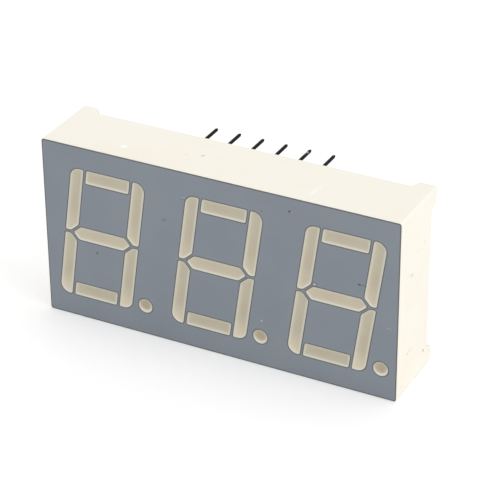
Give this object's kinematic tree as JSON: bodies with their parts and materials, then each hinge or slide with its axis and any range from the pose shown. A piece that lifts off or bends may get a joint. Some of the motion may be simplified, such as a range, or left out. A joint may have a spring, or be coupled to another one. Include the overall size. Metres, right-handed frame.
{
  "type": "seven segment display",
  "caption": "Numeric LED display module: white housing with a grey face, slanted light bars and decimal points, and two rows of round pins behind it.",
  "frame": {"origin": "centre of the lower side wall, on which the display stands", "axes": "+X along the row of digits, to the right as seen from the front; +Y from the face to the pins; +Z from the lower to the upper side wall"},
  "size_m": [0.0376, 0.0125, 0.019],
  "materials": {
    "housing": "satin moulded plastic",
    "face_ink": "satin grey coat",
    "epoxy_fill": "milky cast resin",
    "circuit_board": "glass fibre laminate",
    "copper": "copper foil",
    "solder": "dull solder",
    "adhesive": "silver-filled adhesive",
    "pins": "dark tinned wire",
    "chips": "semiconductor crystal",
    "bond_wires": "gold wire"
  },
  "bodies": {
    "root": {"housing": "housing", "face_ink": "face_ink", "epoxy_fill": "epoxy_fill", "circuit_board": "circuit_board", "front_copper": "copper", "back_copper": "copper", "solder_joints": "solder", "chip_adhesive": "adhesive", "pin_1": "pins", "pin_2": "pins", "pin_3": "pins", "pin_4": "pins", "pin_5": "pins", "pin_6": "pins", "pin_7": "pins", "pin_8": "pins", "pin_9": "pins", "pin_10": "pins", "pin_11": "pins", "pin_12": "pins", "chip_1_a": "chips", "chip_1_b": "chips", "chip_1_c": "chips", "chip_1_d": "chips", "chip_1_e": "chips", "chip_1_f": "chips", "chip_1_g": "chips", "chip_1_dp": "chips", "chip_2_a": "chips", "chip_2_b": "chips", "chip_2_c": "chips", "chip_2_d": "chips", "chip_2_e": "chips", "chip_2_f": "chips", "chip_2_g": "chips", "chip_2_dp": "chips", "chip_3_a": "chips", "chip_3_b": "chips", "chip_3_c": "chips", "chip_3_d": "chips", "chip_3_e": "chips", "chip_3_f": "chips", "chip_3_g": "chips", "chip_3_dp": "chips", "bond_wires_1": "bond_wires", "bond_wires_2": "bond_wires", "bond_wires_3": "bond_wires"}
  },
  "joints": []
}
